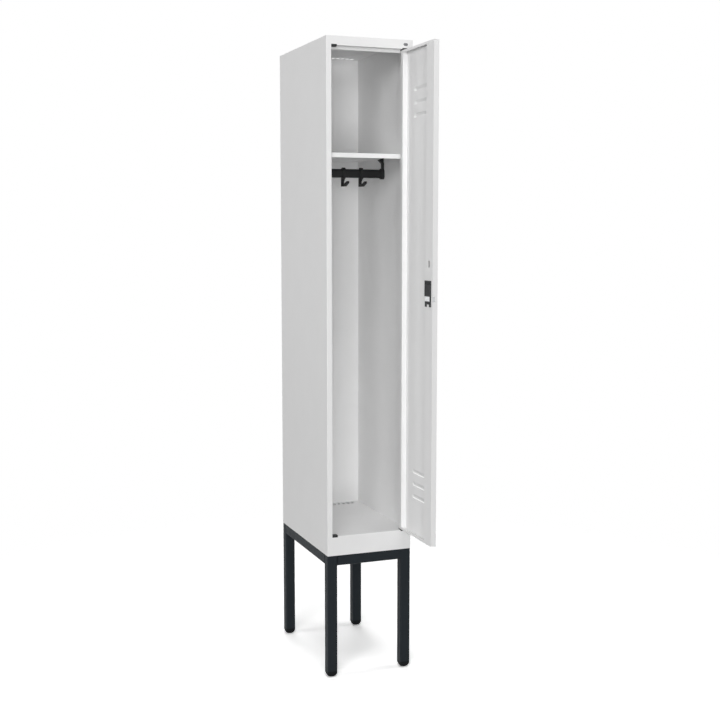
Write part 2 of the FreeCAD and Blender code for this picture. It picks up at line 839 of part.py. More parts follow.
def door_lips(body):
    """The narrow lips at the door's top and bottom, between the two stiles."""
    left, right = f"{FREE_EDGE} + lock_stile_width", f"{HINGE_EDGE} - hinge_stile_width"
    lips = draw(body, "XZ_Plane", f"{INNER_FACE} - sheet_wall")
    rectangle(lips, left, DOOR_BOTTOM, right, f"{DOOR_BOTTOM} + door_lip")
    rectangle(lips, left, f"{DOOR_TOP} - door_lip", right, DOOR_TOP)
    pad(lips, "sheet_wall")


def edge_openings(body):
    """Openings in the free edge: the bolt's slot, and a notch at either end."""
    edge = draw(body, "YZ_Plane", f"{FREE_EDGE} - overrun")
    bolt_window(edge)
    near, far = f"{INNER_FACE} - notch_depth", f"{INNER_FACE} + overrun"
    rectangle(edge, near, f"{DOOR_BOTTOM} + sheet_wall", far, f"{DOOR_BOTTOM} + notch_height")
    rectangle(edge, near, f"{DOOR_TOP} - notch_height", far, f"{DOOR_TOP} - sheet_wall")
    cut(edge, "sheet_wall + overrun")


def bolt_window(sketch):
    rectangle(
        sketch,
        f"{BOLT_OUTER} - slip",
        f"{BOLT_LOW} - slip",
        f"{BOLT_INNER} + slip",
        f"{BOLT_HIGH} + slip",
    )


def lock_opening(body, face, wall):
    """The hole that the lock housing passes through, in a sheet whose back is at the given face."""
    hole = draw(body, "XZ_Plane", f"{face} - {wall} - overrun")
    half = "(housing_width / 2 + slip)"
    rectangle(
        hole,
        f"{LOCK_X} - {half}",
        "lock_level - housing_below - slip",
        f"{LOCK_X} + {half}",
        "lock_level + housing_above + slip",
    )
    cut(hole, f"{wall} + 2 * overrun")


def louvre_section(body, at, radius, low):
    section = draw(body, "XZ_Plane", at)
    half_slot(section, f"({FREE_EDGE} + {HINGE_EDGE}) / 2", low, "louvre_width / 2 - louvre_height", radius)
    return section


def louvres(body, low):
    """A column of hoods pressed outward, open at the bottom, with round shoulders that close the ends."""
    tip = f"{OUTER_FACE} - louvre_rise"
    outer_foot = louvre_section(body, OUTER_FACE, "louvre_height", low)
    outer_tip = louvre_section(body, tip, "louvre_mouth", low)
    hood = loft(body, "Additive", outer_foot, outer_tip)
    inner_foot = louvre_section(body, f"{OUTER_FACE} + sheet_wall", "louvre_height - sheet_wall", low)
    inner_tip = louvre_section(body, f"{tip} + sheet_wall", "louvre_mouth - sheet_wall", low)
    hollow = loft(body, "Subtractive", inner_foot, inner_tip)
    repeat(body, [hood, hollow], "Z_Axis", "louvre_pitch", "louvre_count")


def stile(label, edge, inward, width):
    """Folded channel that closes the door pan into a box along one edge."""
    body = new_body(label)
    in_door(body)
    skin = f"({OUTER_FACE} + sheet_wall)"

    def across(distance):
        return f"{edge} {inward} ({distance})"

    plan = draw(body, "XY_Plane", f"{DOOR_BOTTOM} + sheet_wall")
    polygon(
        plan,
        (across("sheet_wall"), f"{skin} + door_corner"),
        (across("sheet_wall"), INNER_FACE),
        (across(width), INNER_FACE),
        (across(width), f"{skin} + sheet_wall"),
        (across(f"{width} + stile_foot"), f"{skin} + sheet_wall"),
        (across(f"{width} + stile_foot"), skin),
        (across(f"{width} - sheet_wall"), skin),
        (across(f"{width} - sheet_wall"), f"{INNER_FACE} - sheet_wall"),
        (across("2 * sheet_wall"), f"{INNER_FACE} - sheet_wall"),
        (across("2 * sheet_wall"), f"{skin} + door_corner"),
    )
    pad(plan, f"{DOOR_TOP} - {DOOR_BOTTOM} - 2 * sheet_wall")
    return body


def hinge_stile():
    return stile("door_hinge_stile", HINGE_EDGE, "-", "hinge_stile_width")


def lock_stile():
    body = stile("door_lock_stile", FREE_EDGE, "+", "lock_stile_width")
    lock_opening(body, INNER_FACE, "sheet_wall")
    edge = draw(body, "YZ_Plane", f"{FREE_EDGE} - overrun")
    bolt_window(edge)
    cut(edge, "2 * sheet_wall + 2 * overrun")
    spare = draw(body, "XZ_Plane", f"{INNER_FACE} - sheet_wall - overrun")
    middle = f"{FREE_EDGE} + spare_slot_inset"
    slot(spare, middle, "spare_slot_level", "spare_slot_length", "spare_slot_width", upright=True)
    cut(spare, "sheet_wall + 2 * overrun")
    return body


def hinge_pin(label, at_top):
    """Turned pin through the door's end fold, with a collar inside the hinge stile."""
    body = new_body(label)
    in_door(body)
    end, away = (DOOR_TOP, "+") if at_top else (DOOR_BOTTOM, "-")

    def along(distance):
        return f"{end} {away} ({distance})"

    inside = "-sheet_wall - pin_collar_height"
    profile = draw(body, "XZ_Plane")
    polygon(
        profile,
        ("0", along("pin_reach - pin_length")),
        ("pin_diameter / 2", along("pin_reach - pin_length")),
        ("pin_diameter / 2", along(inside)),
        ("pin_collar / 2", along(inside)),
        ("pin_collar / 2", along("-sheet_wall")),
        ("pin_diameter / 2", along("-sheet_wall")),
        ("pin_diameter / 2", along("pin_reach - pin_tip")),
        ("pin_diameter / 2 - pin_tip", along("pin_reach")),
        ("0", along("pin_reach")),
    )
    turn(profile, "Z_Axis")
    return body


def lock_housing():
    """Moulded lock case: face plate, pull cup, bore for the cylinder and the bolt's channel."""
    body = new_body("lock_housing")
    in_door(body)
    half = "(housing_width / 2)"
    low, high = "(lock_level - housing_below)", "(lock_level + housing_above)"
    plate = draw(body, "XZ_Plane", PLATE_FACE)
    rectangle(
        plate,
        f"{LOCK_X} - {half} - plate_margin",
        f"{low} - plate_margin",
        f"{LOCK_X} + {half} + plate_margin",
        f"{high} + plate_margin",
    )
    pad(plate, "plate_wall")
    corners = [(x, z) for x in ("XMin", "XMax") for z in ("ZMin", "ZMax")]
    round_edges(body, "plate_corner", *corners)
    case = draw(body, "XZ_Plane", OUTER_FACE)
    rectangle(case, f"{LOCK_X} - {half}", low, f"{LOCK_X} + {half}", high)
    pad(case, "door_thickness")
    pull_cup(body)
    cylinder_seat(body)
    channel = draw(body, "YZ_Plane", f"{LOCK_X} - {half} - overrun")
    rectangle(
        channel,
        f"{BOLT_OUTER} - slip",
        f"{BOLT_LOW} - slip",
        f"{INNER_FACE} + overrun",
        f"{BOLT_HIGH} + slip",
    )
    cut(channel, "housing_width + 2 * overrun")
    crank_room = draw(body, "XZ_Plane", f"{BOLT_OUTER} - slip")
    sweep = "(bolt_travel / 2 + bolt_pin_diameter / 2 + bolt_pin_play)"
    rectangle(
        crank_room,
        f"{LOCK_X} - {sweep}",
        BOLT_HIGH,
        f"{LOCK_X} + {sweep}",
        f"lock_level + {CRANK} + bolt_pin_diameter / 2 + bolt_pin_play",
    )
    cut(crank_room, f"{INNER_FACE} - {BOLT_OUTER} + slip + overrun")
    screws = draw(body, "XZ_Plane", f"{INNER_FACE} + cover_box_wall - screw_length")
    screw_circles(screws)
    cut(screws, "screw_length + overrun")
    return body


def cup_section(body, at, margin):
    section = draw(body, "XZ_Plane", at)
    half = f"(cup_width / 2 - ({margin}))"
    low = f"lock_level + cup_above + {margin}"
    high = f"lock_level + cup_above + cup_height - {margin}"
    rectangle(section, f"{LOCK_X} - {half}", low, f"{LOCK_X} + {half}", high)
    return section


def pull_cup(body):
    """The hollow for the fingers, open to the outside and drafted towards its floor."""
    mouth = cup_section(body, PLATE_FACE, "0")
    bottom = cup_section(body, f"{PLATE_FACE} + cup_depth", "cup_draft")
    loft(body, "Subtractive", mouth, bottom)


def cylinder_seat(body):
    """Stepped bore: the sleeve in front, the plug's cam behind it."""
    bore = draw(body, "XZ_Plane", f"{PLATE_FACE} - overrun")
    circle(bore, LOCK_X, "lock_level", "sleeve_diameter / 2")
    cut(bore, f"{BOLT_OUTER} - {PLATE_FACE} + overrun")
    cam = draw(body, "XZ_Plane", f"{CAM_BACK} - slip")
    circle(cam, LOCK_X, "lock_level", "cam_diameter / 2 + slip")
    cut(cam, f"{BOLT_OUTER} - {CAM_BACK} + slip")


def screw_circles(sketch):
    for sign in ("-", "+"):
        circle(sketch, f"{LOCK_X} {sign} screw_spread / 2", "lock_level + cover_above - screw_below_top",
               "screw_shank / 2")


def lock_cover():
    """Moulded inner cover: raised box over the cup, window for the bolt, forked foot."""
    body = new_body("lock_cover")
    in_door(body)
    half = "(cover_width / 2)"
    left, right = f"{LOCK_X} - {half}", f"{LOCK_X} + {half}"
    outline = draw(body, "XZ_Plane", INNER_FACE)
    rectangle(outline, left, "lock_level - cover_below", right, "lock_level + cover_above")
    pad(outline, "cover_wall")
    box = draw(body, "XZ_Plane", INNER_FACE)
    rectangle(box, left, BOLT_HIGH, right, "lock_level + cover_above")
    pad(box, "cover_box_wall")
    window = draw(body, "XZ_Plane", f"{INNER_FACE} - overrun")
    rectangle(window, f"{left} + cover_strap", BOLT_LOW, f"{right} + overrun", BOLT_HIGH)
    fork_left, fork_right = f"{LOCK_X} - fork_width / 2", f"{LOCK_X} + fork_width / 2"
    low = "lock_level - cover_below"
    rectangle(window, fork_left, f"{low} - overrun", fork_right, f"{low} + fork_height")
    screw_circles(window)
    cut(window, "cover_box_wall + 2 * overrun")
    return body


def lock_screws():
    """Two pan-head screws that draw the cover and the housing together."""
    screws = []
    for sign in ("-", "+"):
        screw = new_body("lock_screw")
        in_door(screw)
        x, z = f"{LOCK_X} {sign} screw_spread / 2", "lock_level + cover_above - screw_below_top"
        shank = draw(screw, "XZ_Plane", f"{INNER_FACE} + cover_box_wall - screw_length")
        circle(shank, x, z, "screw_shank / 2")
        pad(shank, "screw_length")
        head = draw(screw, "XZ_Plane", f"{INNER_FACE} + cover_box_wall")
        circle(head, x, z, "screw_head / 2")
        pad(head, "screw_head_height")
        round_edges(screw, "screw_head_height / 2", ("YMax",))
        screws.append(screw)
    return group("lock_screws", screws)


def cylinder_profile(body, points):
    """Spin an outline about the lock axis; the points are radius and depth through the door."""
    profile = draw(body, "XY_Plane", "lock_level")
    polygon(profile, *[(f"{LOCK_X} + {radius}", depth) for radius, depth in points])
    axis = draw(body, "XY_Plane", "lock_level")
    start, end = FreeCAD.Vector(0, 0, 0), FreeCAD.Vector(0, 1, 0)
    axis.addGeometry(Part.LineSegment(start, end), False)
    fix_point(axis, 0, 1, start, LOCK_X, "0")
    fix_point(axis, 0, 2, end, LOCK_X, "door_thickness")
    feature = body.newObject("PartDesign::Revolution", "turned")
    feature.Profile = profile
    feature.ReferenceAxis = (axis, ["Edge1"])
    feature.Angle = 360
    return feature


def cylinder_sleeve():
    """Plated sleeve with a bezel on the face plate; it keeps the turning plug in."""
    body = new_body("cylinder_sleeve")
    in_door(body)
    inner = "key_diameter / 2 + pin_clearance"
    face = f"{PLATE_FACE} - bezel_proud"
    cylinder_profile(body, [
        (inner, face),
        ("bezel_diameter / 2 - bezel_proud / 2", face),
        ("bezel_diameter / 2", f"{PLATE_FACE} - bezel_proud / 2"),
        ("bezel_diameter / 2", PLATE_FACE),
        ("sleeve_diameter / 2", PLATE_FACE),
        ("sleeve_diameter / 2", f"{CAM_BACK} - slip"),
        (inner, f"{CAM_BACK} - slip"),
    ])
    return body


def lock_plug():
    """The turning plug: key face in front, cam disc behind, and a crank pin that drives the bolt."""
    body = new_body("lock_plug")
    in_door(body)
    face = f"{PLATE_FACE} - bezel_proud - key_proud"
    cylinder_profile(body, [
        ("0", face),
        ("key_diameter / 2 - key_proud", face),
        ("key_diameter / 2", f"{face} + key_proud"),
        ("key_diameter / 2", CAM_BACK),
        ("cam_diameter / 2", CAM_BACK),
        ("cam_diameter / 2", CAM_FACE),
        ("0", CAM_FACE),
    ])
    keyhole = draw(body, "XZ_Plane", f"{face} - overrun")
    slot(keyhole, LOCK_X, "lock_level", "key_slot_length", "key_slot_width", upright=True)
    cut(keyhole, "key_slot_depth + overrun")
    crank = draw(body, "XZ_Plane", CAM_FACE)
    circle(crank, f"{LOCK_X} + bolt_travel / 2", "lock_level + bolt_travel / 2", "bolt_pin_diameter / 2")
    pad(crank, "bolt_thickness - bolt_skin")
    return body


def lock_bolt():
    """Flat plated bolt, drawn back flush with the door's edge; a notch behind takes the crank pin."""
    body = new_body("lock_bolt")
    in_door(body)
    bar = draw(body, "YZ_Plane", FREE_EDGE)
    rectangle(bar, BOLT_OUTER, BOLT_LOW, BOLT_INNER, BOLT_HIGH)
    pad(bar, "bolt_length")
    notch = draw(body, "XZ_Plane", f"{BOLT_OUTER} - overrun")
    half = "(bolt_pin_diameter / 2 + bolt_pin_play)"
    x = f"({LOCK_X} + bolt_travel / 2)"
    low = f"lock_level + bolt_travel / 2 - {half}"
    rectangle(notch, f"{x} - {half}", low, f"{x} + {half}", f"{BOLT_HIGH} + overrun")
    cut(notch, "bolt_thickness - bolt_skin + overrun")
    return body


def tube(label, axis, section, start, length, at):
    """Square tube with rounded corners along an axis; the section is its two low corners."""
    body = new_body(label)
    place(body, *at)
    planes = {"X": "YZ_Plane", "Y": "XZ_Plane", "Z": "XY_Plane"}
    u, v = section
    outline = draw(body, planes[axis], start)
    rectangle(outline, u, v, f"{u} + tube_size", f"{v} + tube_size")
    pad(outline, length)
    across = [side for side in "XYZ" if side != axis]
    rims = [(f"{across[0]}{a}", f"{across[1]}{b}") for a in ("Min", "Max") for b in ("Min", "Max")]
    round_edges(body, "tube_corner", *rims)
    bore = draw(body, planes[axis], f"{start} - overrun")
    rectangle(bore, f"{u} + tube_wall", f"{v} + tube_wall", f"{u} + tube_size - tube_wall",
              f"{v} + tube_size - tube_wall")
    cut(bore, f"{length} + 2 * overrun")
    return body


def stand():
    """Four legs, four rails between them flush with their tops, and four foot caps."""
    pieces = []
    leg_length = "stand_height - foot_height"
    for corner, (x, y) in STAND_CORNERS.items():
        pieces.append(tube(f"leg_{corner}", "Z", (x, y), "foot_height", leg_length, STAND_ORIGIN))
        pieces.append(foot_cap(f"foot_{corner}", x, y))
    start_x, span_x = f"tube_size - {HALF_WIDTH}", "cabinet_width - 2 * tube_size"
    for name, y in (("front", "0"), ("rear", "cabinet_depth - tube_size")):
        section = (y, STAND_RAIL_LOW)
        pieces.append(tube(f"stand_rail_{name}", "X", section, start_x, span_x, STAND_ORIGIN))
    span_y = "cabinet_depth - 2 * tube_size"
    for name, x in (("left", f"-{HALF_WIDTH}"), ("right", f"{HALF_WIDTH} - tube_size")):
        rail = tube(f"stand_rail_{name}", "Y", (x, STAND_RAIL_LOW), "tube_size", span_y, STAND_ORIGIN)
        holes = draw(rail, "XY_Plane", "stand_height - tube_wall - overrun")
        for y in STAND_BOLT_PLACES:
            circle(holes, f"{x} + tube_size / 2", y, "stand_bolt_diameter / 2")
        cut(holes, "tube_wall + 2 * overrun")
        pieces.append(rail)
    return pieces


def corner_waste(sketch, u, side, radius):
    """Draw what rounding off a bottom corner takes away; the side points into the material."""
    first = sketch.GeometryCount
    inward, outward = f"{u} + {side} * {radius}", f"{u} - {side} * overrun"
    corners = [(inward, "0"), (inward, "-overrun"), (outward, "-overrun"), (outward, radius), (u, radius)]
    path = [FreeCAD.Vector(value(across), value(up), 0) for across, up in corners]
    lines = [Part.LineSegment(start, end) for start, end in zip(path, path[1:])]
    centre = FreeCAD.Vector(path[0].x, path[-1].y, 0)
    ring = Part.Circle(centre, FreeCAD.Vector(0, 0, 1), value(radius))
    from_angle = math.pi if side > 0 else 1.5 * math.pi
    sketch.addGeometry(lines + [Part.ArcOfCircle(ring, from_angle, from_angle + math.pi / 2)], False)
    bend = first + len(lines)
    foot_end, wall_end = (2, 1) if side > 0 else (1, 2)
    joined = [(first + k, 2, first + k + 1, 1) for k in range(len(lines) - 1)]
    joined += [(first, 1, bend, foot_end), (bend - 1, 2, bend, wall_end)]
    sketch.addConstraint([Sketcher.Constraint("Coincident", *pair) for pair in joined])
    for k, corner in enumerate(corners[:-1]):
        fix_point(sketch, first + k, 1, path[k], *corner)
    fix_point(sketch, bend - 1, 2, path[-1], *corners[-1])
    fix(sketch, "Radius", (bend,), value(radius), radius)


def foot_cap(label, x, y):
    """Domed plastic cap under a leg, with a plug that fills the tube."""
    body = new_body(label)
    place(body, *STAND_ORIGIN)
    cap = draw(body, "XY_Plane")
    rectangle(cap, x, y, f"{x} + tube_size", f"{y} + tube_size")
    pad(cap, "foot_height")
    round_edges(body, "tube_corner", *[(a, b) for a in ("XMin", "XMax") for b in ("YMin", "YMax")])
    round_part = "((tube_size - foot_flat) / 2)"
    for plane, low, along in (("XZ_Plane", x, y), ("YZ_Plane", y, x)):
        dome = draw(body, plane, f"{along} - overrun")
        corner_waste(dome, low, 1, round_part)
        corner_waste(dome, f"{low} + tube_size", -1, round_part)
        cut(dome, "tube_size + 2 * overrun")
    plug = draw(body, "XY_Plane", "foot_height")
    inset = "(tube_wall + slip)"
    right, back = f"{x} + tube_size - {inset}", f"{y} + tube_size - {inset}"
    rectangle(plug, f"{x} + {inset}", f"{y} + {inset}", right, back)
    pad(plug, "foot_plug_height")
    return body


def stand_fasteners():
    """Four hexagon bolts down through the cabinet's base flanges, each in a threaded insert."""
    bolts, nuts = [], []
    seat = "stand_height + sheet_wall"
    for side in (-1, 1):
        for y in STAND_BOLT_PLACES:
            x = f"{side} * ({HALF_WIDTH} - tube_size / 2)"
            at = (x, f"{CABINET_FRONT} + {y}", seat)
            bolts.append(stand_bolt(at))
            nuts.append(stand_nut(at))
    return [group("stand_bolts", bolts), group("stand_nuts", nuts)]


def stand_bolt(at):
    bolt = new_body("stand_bolt")
    place(bolt, *at)
    head = draw(bolt, "XY_Plane")
    corner = "(stand_bolt_head / sqrt(3))"
    half = "stand_bolt_head / 2"
    polygon(
        head,
        (corner, "0"), (f"{corner} / 2", half), (f"-{corner} / 2", half),
        (f"-{corner}", "0"), (f"-{corner} / 2", f"-{half}"), (f"{corner} / 2", f"-{half}"),
    )
    pad(head, "stand_bolt_head_height")
    shank = draw(bolt, "XY_Plane", "-stand_bolt_length")
    circle(shank, "0", "0", "stand_bolt_diameter / 2")
    pad(shank, "stand_bolt_length")
    return bolt


def stand_nut(at):
    """Threaded insert under the rail's top wall."""
    nut = new_body("stand_nut")
    place(nut, *at)
    ring = draw(nut, "XY_Plane", "-sheet_wall - tube_wall - stand_nut_height")
    circle(ring, "0", "0", "stand_nut_diameter / 2")
    circle(ring, "0", "0", "stand_bolt_diameter / 2")
    pad(ring, "stand_nut_height")
    return nut


def build():
    left_post = post_angle("left_post", -1)
    strike_slot(left_post)
    pieces = [
        side_panel("left_side_panel", -1),
        side_panel("right_side_panel", 1),
        left_post,
        post_angle("right_post", 1),
        back_panel(),
        roof_panel(),
        floor_panel(),
        hat_shelf(),
        shelf_supports(),
        coat_rail(),
        rail_bracket("rail_bracket_left", -1),
        rail_bracket("rail_bracket_right", 1),
        coat_hook("coat_hook_left", "-hook_spacing"),
        coat_hook("coat_hook_middle", "0"),
        coat_hook("coat_hook_right", "hook_spacing"),
        corner_bush("hinge_bush_top", 1, True),
        corner_bush("hinge_bush_bottom", 1, False),
        corner_bush("corner_bush_top", -1, True),
        corner_bush("corner_bush_bottom", -1, False),
        header_plug(),
        door_panel(),
        hinge_stile(),
        lock_stile(),
        hinge_pin("hinge_pin_top", True),
        hinge_pin("hinge_pin_bottom", False),
        lock_housing(),
        lock_cover(),
        lock_screws(),
        cylinder_sleeve(),
        lock_plug(),
        lock_bolt(),
    ]
    return pieces + stand() + stand_fasteners()


def export(pieces):
    doc.recompute()
    failed = [item.Label for item in doc.Objects if {"Invalid", "Error"} & set(item.State)]
    failed += [item.Label for item in pieces if item.Shape.isNull() or not item.Shape.isValid()]
    if failed:
        raise RuntimeError(f"failed: {failed}")
    os.makedirs("parts", exist_ok=True)
    for item in pieces:
        item.Shape.exportStep(f"parts/{item.Label}.step")
    print(len(pieces), "pieces written")


export(build())
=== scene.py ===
from math import cos, radians, sin, sqrt

import bpy
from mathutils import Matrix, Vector


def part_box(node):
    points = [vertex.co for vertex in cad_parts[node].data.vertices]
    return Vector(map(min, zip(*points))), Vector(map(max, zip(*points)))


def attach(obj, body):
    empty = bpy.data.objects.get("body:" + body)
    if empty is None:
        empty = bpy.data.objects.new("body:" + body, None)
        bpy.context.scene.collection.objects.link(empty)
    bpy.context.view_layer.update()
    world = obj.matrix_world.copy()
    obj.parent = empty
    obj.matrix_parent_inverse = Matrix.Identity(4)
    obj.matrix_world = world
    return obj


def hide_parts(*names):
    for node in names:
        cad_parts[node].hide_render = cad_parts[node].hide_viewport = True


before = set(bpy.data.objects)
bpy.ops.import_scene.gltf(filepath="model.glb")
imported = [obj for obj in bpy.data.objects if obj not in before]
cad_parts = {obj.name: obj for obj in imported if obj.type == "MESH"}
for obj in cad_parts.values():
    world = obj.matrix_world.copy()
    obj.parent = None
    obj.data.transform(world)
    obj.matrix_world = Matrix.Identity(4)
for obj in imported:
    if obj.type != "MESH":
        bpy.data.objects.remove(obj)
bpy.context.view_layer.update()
bpy.context.scene.view_settings.view_transform = "Standard"


# Cabinet box: sides, front posts, back, roof with its header and floor with its plinth.
# All are 0.8 mm steel sheet, cut, folded and spot welded, then powder coated in light grey.

# Patterns are sized in millimetres, and the pieces' own coordinates are in metres.
metre_mm = 1000.0
# Noise mostly keeps within this span, so the sheen is spread over it.
noise_span = {"From Min": 0.3, "From Max": 0.7}


def linear(colour):
    """Turn an sRGB hex colour into the linear values that Blender works in."""
    channels = [int(colour[place:place + 2], 16) / 255 for place in (1, 3, 5)]
    bent = [c / 12.92 if c <= 0.04045 else ((c + 0.055) / 1.055) ** 2.4 for c in channels]
    return (*bent, 1.0)


def add(owner, kind, inputs, **settings):
    """Add one node: inputs are values or the sockets that feed them, settings its properties."""
    node = owner.node_tree.nodes.new(kind)
    for name, setting in settings.items():
        setattr(node, name, setting)
    for socket, source in inputs.items():
        if isinstance(source, bpy.types.NodeSocket):
            owner.node_tree.links.new(source, node.inputs[socket])
        else:
            node.inputs[socket].default_value = source
    return node


def new_finish(name):
    """Start a material: give it back with the place on the piece that its patterns hold to."""
    material = bpy.data.materials.new(name)
    material.use_nodes = True
    return material, add(material, "ShaderNodeTexCoord", {}).outputs["Object"]


def lay_on(material, colour, sheen, skin):
    """Feed a material's colour, sheen and skin to its shader, and give the shader back."""
    shader = material.node_tree.nodes["Principled BSDF"]
    material.node_tree.links.new(colour.outputs["Color"], shader.inputs["Base Color"])
    material.node_tree.links.new(sheen.outputs["Result"], shader.inputs["Roughness"])
    material.node_tree.links.new(skin.outputs["Normal"], shader.inputs["Normal"])
    return shader


def powder_coat(name, thick_coat, thin_coat, roughness, reflection):
    """Powder coat on steel: baked powder flows out to a satin skin with a faint orange peel.

    The eye gets an even, slightly cloudy colour and a soft sheen that breaks up along the peel.
    """
    cloud_mm = 90.0
    # Real peel is 2 to 3 mm wide, which one pixel swallows, so it is drawn 9 mm wide.
    peel_mm = 9.0
    grain_mm = 2.5
    sheen_spread = 0.06
    material, place = new_finish(name)
    cloud = add(material, "ShaderNodeTexNoise",
                {"Vector": place, "Scale": metre_mm / cloud_mm, "Detail": 3.0})
    peel = add(material, "ShaderNodeTexNoise",
               {"Vector": place, "Scale": metre_mm / peel_mm, "Detail": 1.0})
    grain = add(material, "ShaderNodeTexNoise",
                {"Vector": place, "Scale": metre_mm / grain_mm, "Detail": 2.0})
    colour = add(material, "ShaderNodeMixRGB",
                 {"Fac": cloud.outputs["Fac"], "Color1": linear(thin_coat),
                  "Color2": linear(thick_coat)})
    sheen = add(material, "ShaderNodeMapRange",
                {"Value": peel.outputs["Fac"], **noise_span,
                 "To Min": roughness - sheen_spread, "To Max": roughness + sheen_spread})
    skin = add(material, "ShaderNodeBump",
               {"Height": peel.outputs["Fac"], "Strength": 0.25, "Distance": 0.0006})
    fine = add(material, "ShaderNodeBump",
               {"Height": grain.outputs["Fac"], "Strength": 0.2, "Distance": 0.0001,
                "Normal": skin.outputs["Normal"]})
    shader = lay_on(material, colour, sheen, fine)
    shader.inputs["Specular IOR Level"].default_value = reflection
    return material


def dress(material, *names):
    """Give CAD nodes their material."""
    for name in names:
        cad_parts[name].material_slots[0].material = material


light_grey_coat = powder_coat("light_grey_powder_coated_steel", "#F1F1F1", "#EDEDED", 0.6, 0.5)
dress(light_grey_coat, "left_side_panel", "right_side_panel", "left_post", "right_post",
      "back_panel", "roof_panel", "floor_panel")


# Hat shelf and its four support tabs.
# The shelf is one folded sheet in the same coat, set down on tabs welded to the sides and posts.

dress(light_grey_coat, "hat_shelf", "shelf_supports")


# Coat rail: an oval steel tube in a black plastic coating, held at each end by a moulded bracket.
# The coating is drawn on while hot, so it is smooth along the tube.
# Hangers that slide on it leave faint rub marks.

def coated_tube():
    """Polyethylene coating on steel tube: smooth and half matt, dulled by the hangers' rub."""
    rub_mm = 4.0
    stretch = 12.0
    material, place = new_finish("black_polyethylene_coated_tube")
    around = add(material, "ShaderNodeMapping",
                 {"Vector": place, "Scale": (stretch, 1.0, 1.0)})
    rub = add(material, "ShaderNodeTexNoise",
              {"Vector": around.outputs["Vector"], "Scale": metre_mm / rub_mm / stretch,
               "Detail": 3.0})
    colour = add(material, "ShaderNodeMixRGB",
                 {"Fac": rub.outputs["Fac"], "Color1": linear("#121314"),
                  "Color2": linear("#1C1D1E")})
    sheen = add(material, "ShaderNodeMapRange",
                {"Value": rub.outputs["Fac"], **noise_span, "To Min": 0.34, "To Max": 0.5})
    scuff = add(material, "ShaderNodeBump",
                {"Height": rub.outputs["Fac"], "Strength": 0.15, "Distance": 0.0002})
    shader = lay_on(material, colour, sheen, scuff)
    shader.inputs["IOR"].default_value = 1.51
    shader.inputs["Specular IOR Level"].default_value = 0.3
    return material


dress(coated_tube(), "coat_rail")


# Rail brackets, sliding hooks, hinge bushes and spare bushes.
# All are moulded in black polyamide against a spark-eroded tool, which leaves a fine even grain.

def moulded_plastic(name, high, low, roughness, reflection):
    """Moulded plastic: a deep colour, half matt, with the tool's fine grain breaking the sheen."""
    # The tool's grain is about 0.3 mm, and is drawn 2 mm wide so that it shows at all.
    grain_mm = 2.0
    flow_mm = 25.0
    sheen_spread = 0.08
    material, place = new_finish(name)
    flow = add(material, "ShaderNodeTexNoise",
               {"Vector": place, "Scale": metre_mm / flow_mm, "Detail": 2.0})
    grain = add(material, "ShaderNodeTexNoise",
                {"Vector": place, "Scale": metre_mm / grain_mm, "Detail": 2.0})
    colour = add(material, "ShaderNodeMixRGB",
                 {"Fac": flow.outputs["Fac"], "Color1": linear(low), "Color2": linear(high)})
    sheen = add(material, "ShaderNodeMapRange",
                {"Value": grain.outputs["Fac"], **noise_span,
                 "To Min": roughness - sheen_spread, "To Max": roughness + sheen_spread})
    skin = add(material, "ShaderNodeBump",
               {"Height": grain.outputs["Fac"], "Strength": 0.3, "Distance": 0.0002})
    shader = lay_on(material, colour, sheen, skin)
    shader.inputs["IOR"].default_value = 1.53
    # The fine grain holds back part of the reflection.
    shader.inputs["Specular IOR Level"].default_value = reflection
    return material


black_polyamide = moulded_plastic("black_moulded_polyamide", "#1A1B1C", "#131415", 0.5, 0.3)
dress(black_polyamide, "rail_bracket_left", "rail_bracket_right", "coat_hook_left",
      "coat_hook_middle", "coat_hook_right", "hinge_bush_top", "hinge_bush_bottom",
      "corner_bush_top", "corner_bush_bottom")


# Header plug: a small oval cap pressed into a hole at the right end of the header.
# It is moulded in grey polyethylene, softer and duller than the black fittings.

grey_polyethylene = moulded_plastic("grey_moulded_polyethylene", "#808284", "#747678", 0.55, 0.3)
dress(grey_polyethylene, "header_plug")


# Door: a folded pan with pressed louvres, stiffened by a hinge stile and a lock stile inside.
# It has the cabinet's own coat, and turns on two plated pins.

dress(light_grey_coat, "door_panel", "door_hinge_stile", "door_lock_stile")


# Hinge pins, lock sleeve, lock plug, cover screws and the stand's bolts and nuts.
# All are turned, stamped or headed from steel and barrel plated with zinc, bright and satin.
# The cover's screws are blackened after plating, so that they don't show on the dark cover.

def zinc_plate(name, bright, dull, roughness):
    """Zinc plate on steel: a satin sheen, clouded by the passivation and finely drawn."""
    cloud_mm = 6.0
    draw_mm = 1.2
    sheen_spread = 0.06
    material, place = new_finish(name)
    cloud = add(material, "ShaderNodeTexNoise",
                {"Vector": place, "Scale": metre_mm / cloud_mm, "Detail": 3.0})
    drawn = add(material, "ShaderNodeTexNoise",
                {"Vector": place, "Scale": metre_mm / draw_mm, "Detail": 1.0})
    colour = add(material, "ShaderNodeMixRGB",
                 {"Fac": cloud.outputs["Fac"], "Color1": linear(dull), "Color2": linear(bright)})
    sheen = add(material, "ShaderNodeMapRange",
                {"Value": cloud.outputs["Fac"], **noise_span,
                 "To Min": roughness - sheen_spread, "To Max": roughness + sheen_spread})
    skin = add(material, "ShaderNodeBump",
               {"Height": drawn.outputs["Fac"], "Strength": 0.15, "Distance": 0.0001})
    shader = lay_on(material, colour, sheen, skin)
    shader.inputs["Metallic"].default_value = 1.0
    return material


bright_zinc = zinc_plate("bright_zinc_plated_steel", "#E2E3E4", "#D2D4D6", 0.32)
dress(bright_zinc, "hinge_pin_top", "hinge_pin_bottom", "cylinder_sleeve", "lock_plug",
      "stand_bolts", "stand_nuts")
black_zinc = zinc_plate("black_zinc_plated_steel", "#303132", "#242526", 0.32)
dress(black_zinc, "lock_screws")


